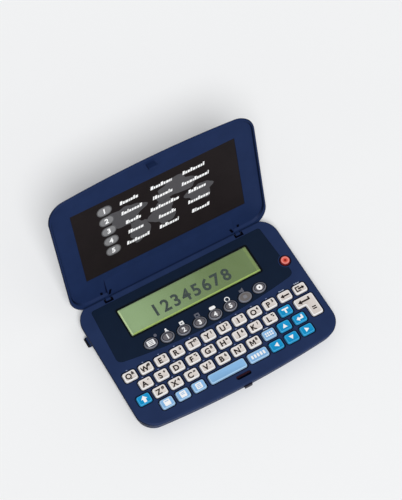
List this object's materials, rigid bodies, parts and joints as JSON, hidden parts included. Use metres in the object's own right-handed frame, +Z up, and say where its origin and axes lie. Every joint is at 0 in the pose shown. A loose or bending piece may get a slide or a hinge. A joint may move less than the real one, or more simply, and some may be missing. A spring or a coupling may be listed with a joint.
{
  "type": "handheld translator",
  "caption": "Pocket translator: a slim clamshell with a green display and a full letter keypad in its base, and a hinged tray lid that holds a printed card.",
  "frame": {"origin": "centre of the flat underside, midway between the closed casing's sides, front and rear edges", "axes": "+X to the user's right along the keypad rows, +Y from the front edge to the hinge, +Z up from the surface it lies on"},
  "size_m": [0.1239, 0.1098, 0.0838],
  "materials": {
    "casing_navy": "fine satin texture",
    "screen_panel": "glossy, dark printed border around a clear window",
    "display": "grey-green reflective display",
    "connector_rubber": "matt",
    "mat_rubber": "matt",
    "board": "green solder mask",
    "cell_steel": "satin",
    "contact_brass": "satin",
    "screw_steel": "satin",
    "pin_steel": "polished",
    "card": "printed, semi-matt",
    "key_white": "warm off-white, satin",
    "key_blue": "bright blue, satin",
    "key_light_blue": "light blue, satin",
    "key_grey": "smoky translucent grey",
    "key_red": "red, glossy"
  },
  "bodies": {
    "base": {"lower_casing": "casing_navy", "upper_casing": "casing_navy", "screen_lens": "screen_panel", "display_panel": "display", "display_connector": "connector_rubber", "keypad_mat": "mat_rubber", "circuit_board": "board", "coin_cells": "cell_steel", "battery_contacts": "contact_brass", "case_screws": "screw_steel"},
    "lid": {"lid_shell": "casing_navy", "lid_card": "card", "hinge_pins": "pin_steel"},
    "door": {"battery_door": "casing_navy"},
    "latch": {"latch_button": "casing_navy"},
    "key_q_body": {"key_q": "key_white"},
    "key_w_body": {"key_w": "key_white"},
    "key_e_body": {"key_e": "key_white"},
    "key_r_body": {"key_r": "key_white"},
    "key_t_body": {"key_t": "key_white"},
    "key_y_body": {"key_y": "key_white"},
    "key_u_body": {"key_u": "key_white"},
    "key_i_body": {"key_i": "key_white"},
    "key_o_body": {"key_o": "key_white"},
    "key_p_body": {"key_p": "key_white"},
    "key_back_body": {"key_back": "key_white"},
    "key_exit_body": {"key_exit": "key_white"},
    "key_a_body": {"key_a": "key_white"},
    "key_s_body": {"key_s": "key_white"},
    "key_d_body": {"key_d": "key_white"},
    "key_f_body": {"key_f": "key_white"},
    "key_g_body": {"key_g": "key_white"},
    "key_h_body": {"key_h": "key_white"},
    "key_j_body": {"key_j": "key_white"},
    "key_k_body": {"key_k": "key_white"},
    "key_l_body": {"key_l": "key_white"},
    "key_tab_body": {"key_tab": "key_blue"},
    "key_enter_body": {"key_enter": "key_white"},
    "key_shift_body": {"key_shift": "key_blue"},
    "key_z_body": {"key_z": "key_white"},
    "key_x_body": {"key_x": "key_white"},
    "key_c_body": {"key_c": "key_white"},
    "key_v_body": {"key_v": "key_white"},
    "key_b_body": {"key_b": "key_white"},
    "key_n_body": {"key_n": "key_white"},
    "key_m_body": {"key_m": "key_white"},
    "key_symbol_body": {"key_symbol": "key_light_blue"},
    "key_up_body": {"key_up": "key_blue"},
    "key_return_body": {"key_return": "key_blue"},
    "icon_keys_body": {"icon_keys": "key_light_blue"},
    "space_bar_body": {"space_bar": "key_light_blue"},
    "wide_key_body": {"wide_key": "key_light_blue"},
    "key_left_body": {"key_left": "key_blue"},
    "key_down_body": {"key_down": "key_blue"},
    "key_right_body": {"key_right": "key_blue"},
    "menu_key_body": {"menu_key": "key_grey"},
    "language_keys_body": {"language_keys": "key_grey"},
    "grey_key_body": {"grey_key": "key_grey"},
    "ring_key_body": {"ring_key": "key_grey"},
    "power_button_body": {"power_button": "key_red"}
  },
  "joints": [
    {"name": "lid_hinge", "type": "hinge", "parent": "base", "child": "lid", "pos_m": [0, 0.0388, 0.009], "axis": [1, 0, 0], "range_deg": [0, 109]},
    {"name": "battery_door_slide", "type": "slide", "parent": "base", "child": "door", "axis": [0, 1, 0], "range_m": [0, 0.028]},
    {"name": "latch_slide", "type": "slide", "parent": "base", "child": "latch", "axis": [0, 1, 0], "range_m": [0, 0.0006], "stiffness_N_per_m": 500},
    {"name": "key_q_press", "type": "slide", "parent": "base", "child": "key_q_body", "axis": [0, 0, -1], "range_m": [0, 0.0006], "stiffness_N_per_m": 500},
    {"name": "key_w_press", "type": "slide", "parent": "base", "child": "key_w_body", "axis": [0, 0, -1], "range_m": [0, 0.0006], "stiffness_N_per_m": 500},
    {"name": "key_e_press", "type": "slide", "parent": "base", "child": "key_e_body", "axis": [0, 0, -1], "range_m": [0, 0.0006], "stiffness_N_per_m": 500},
    {"name": "key_r_press", "type": "slide", "parent": "base", "child": "key_r_body", "axis": [0, 0, -1], "range_m": [0, 0.0006], "stiffness_N_per_m": 500},
    {"name": "key_t_press", "type": "slide", "parent": "base", "child": "key_t_body", "axis": [0, 0, -1], "range_m": [0, 0.0006], "stiffness_N_per_m": 500},
    {"name": "key_y_press", "type": "slide", "parent": "base", "child": "key_y_body", "axis": [0, 0, -1], "range_m": [0, 0.0006], "stiffness_N_per_m": 500},
    {"name": "key_u_press", "type": "slide", "parent": "base", "child": "key_u_body", "axis": [0, 0, -1], "range_m": [0, 0.0006], "stiffness_N_per_m": 500},
    {"name": "key_i_press", "type": "slide", "parent": "base", "child": "key_i_body", "axis": [0, 0, -1], "range_m": [0, 0.0006], "stiffness_N_per_m": 500},
    {"name": "key_o_press", "type": "slide", "parent": "base", "child": "key_o_body", "axis": [0, 0, -1], "range_m": [0, 0.0006], "stiffness_N_per_m": 500},
    {"name": "key_p_press", "type": "slide", "parent": "base", "child": "key_p_body", "axis": [0, 0, -1], "range_m": [0, 0.0006], "stiffness_N_per_m": 500},
    {"name": "key_back_press", "type": "slide", "parent": "base", "child": "key_back_body", "axis": [0, 0, -1], "range_m": [0, 0.0006], "stiffness_N_per_m": 500},
    {"name": "key_exit_press", "type": "slide", "parent": "base", "child": "key_exit_body", "axis": [0, 0, -1], "range_m": [0, 0.0006], "stiffness_N_per_m": 500},
    {"name": "key_a_press", "type": "slide", "parent": "base", "child": "key_a_body", "axis": [0, 0, -1], "range_m": [0, 0.0006], "stiffness_N_per_m": 500},
    {"name": "key_s_press", "type": "slide", "parent": "base", "child": "key_s_body", "axis": [0, 0, -1], "range_m": [0, 0.0006], "stiffness_N_per_m": 500},
    {"name": "key_d_press", "type": "slide", "parent": "base", "child": "key_d_body", "axis": [0, 0, -1], "range_m": [0, 0.0006], "stiffness_N_per_m": 500},
    {"name": "key_f_press", "type": "slide", "parent": "base", "child": "key_f_body", "axis": [0, 0, -1], "range_m": [0, 0.0006], "stiffness_N_per_m": 500},
    {"name": "key_g_press", "type": "slide", "parent": "base", "child": "key_g_body", "axis": [0, 0, -1], "range_m": [0, 0.0006], "stiffness_N_per_m": 500},
    {"name": "key_h_press", "type": "slide", "parent": "base", "child": "key_h_body", "axis": [0, 0, -1], "range_m": [0, 0.0006], "stiffness_N_per_m": 500},
    {"name": "key_j_press", "type": "slide", "parent": "base", "child": "key_j_body", "axis": [0, 0, -1], "range_m": [0, 0.0006], "stiffness_N_per_m": 500},
    {"name": "key_k_press", "type": "slide", "parent": "base", "child": "key_k_body", "axis": [0, 0, -1], "range_m": [0, 0.0006], "stiffness_N_per_m": 500},
    {"name": "key_l_press", "type": "slide", "parent": "base", "child": "key_l_body", "axis": [0, 0, -1], "range_m": [0, 0.0006], "stiffness_N_per_m": 500},
    {"name": "key_tab_press", "type": "slide", "parent": "base", "child": "key_tab_body", "axis": [0, 0, -1], "range_m": [0, 0.0006], "stiffness_N_per_m": 500},
    {"name": "key_enter_press", "type": "slide", "parent": "base", "child": "key_enter_body", "axis": [0, 0, -1], "range_m": [0, 0.0006], "stiffness_N_per_m": 500},
    {"name": "key_shift_press", "type": "slide", "parent": "base", "child": "key_shift_body", "axis": [0, 0, -1], "range_m": [0, 0.0006], "stiffness_N_per_m": 500},
    {"name": "key_z_press", "type": "slide", "parent": "base", "child": "key_z_body", "axis": [0, 0, -1], "range_m": [0, 0.0006], "stiffness_N_per_m": 500},
    {"name": "key_x_press", "type": "slide", "parent": "base", "child": "key_x_body", "axis": [0, 0, -1], "range_m": [0, 0.0006], "stiffness_N_per_m": 500},
    {"name": "key_c_press", "type": "slide", "parent": "base", "child": "key_c_body", "axis": [0, 0, -1], "range_m": [0, 0.0006], "stiffness_N_per_m": 500},
    {"name": "key_v_press", "type": "slide", "parent": "base", "child": "key_v_body", "axis": [0, 0, -1], "range_m": [0, 0.0006], "stiffness_N_per_m": 500},
    {"name": "key_b_press", "type": "slide", "parent": "base", "child": "key_b_body", "axis": [0, 0, -1], "range_m": [0, 0.0006], "stiffness_N_per_m": 500},
    {"name": "key_n_press", "type": "slide", "parent": "base", "child": "key_n_body", "axis": [0, 0, -1], "range_m": [0, 0.0006], "stiffness_N_per_m": 500},
    {"name": "key_m_press", "type": "slide", "parent": "base", "child": "key_m_body", "axis": [0, 0, -1], "range_m": [0, 0.0006], "stiffness_N_per_m": 500},
    {"name": "key_symbol_press", "type": "slide", "parent": "base", "child": "key_symbol_body", "axis": [0, 0, -1], "range_m": [0, 0.0006], "stiffness_N_per_m": 500},
    {"name": "key_up_press", "type": "slide", "parent": "base", "child": "key_up_body", "axis": [0, 0, -1], "range_m": [0, 0.0006], "stiffness_N_per_m": 500},
    {"name": "key_return_press", "type": "slide", "parent": "base", "child": "key_return_body", "axis": [0, 0, -1], "range_m": [0, 0.0006], "stiffness_N_per_m": 500},
    {"name": "icon_keys_press", "type": "slide", "parent": "base", "child": "icon_keys_body", "axis": [0, 0, -1], "range_m": [0, 0.0006], "stiffness_N_per_m": 500},
    {"name": "space_bar_press", "type": "slide", "parent": "base", "child": "space_bar_body", "axis": [0, 0, -1], "range_m": [0, 0.0006], "stiffness_N_per_m": 500},
    {"name": "wide_key_press", "type": "slide", "parent": "base", "child": "wide_key_body", "axis": [0, 0, -1], "range_m": [0, 0.0006], "stiffness_N_per_m": 500},
    {"name": "key_left_press", "type": "slide", "parent": "base", "child": "key_left_body", "axis": [0, 0, -1], "range_m": [0, 0.0006], "stiffness_N_per_m": 500},
    {"name": "key_down_press", "type": "slide", "parent": "base", "child": "key_down_body", "axis": [0, 0, -1], "range_m": [0, 0.0006], "stiffness_N_per_m": 500},
    {"name": "key_right_press", "type": "slide", "parent": "base", "child": "key_right_body", "axis": [0, 0, -1], "range_m": [0, 0.0006], "stiffness_N_per_m": 500},
    {"name": "menu_key_press", "type": "slide", "parent": "base", "child": "menu_key_body", "axis": [0, 0, -1], "range_m": [0, 0.0006], "stiffness_N_per_m": 500},
    {"name": "language_keys_press", "type": "slide", "parent": "base", "child": "language_keys_body", "axis": [0, 0, -1], "range_m": [0, 0.0006], "stiffness_N_per_m": 500},
    {"name": "grey_key_press", "type": "slide", "parent": "base", "child": "grey_key_body", "axis": [0, 0, -1], "range_m": [0, 0.0006], "stiffness_N_per_m": 500},
    {"name": "ring_key_press", "type": "slide", "parent": "base", "child": "ring_key_body", "axis": [0, 0, -1], "range_m": [0, 0.0006], "stiffness_N_per_m": 500},
    {"name": "power_button_press", "type": "slide", "parent": "base", "child": "power_button_body", "axis": [0, 0, -1], "range_m": [0, 0.0006], "stiffness_N_per_m": 500}
  ]
}
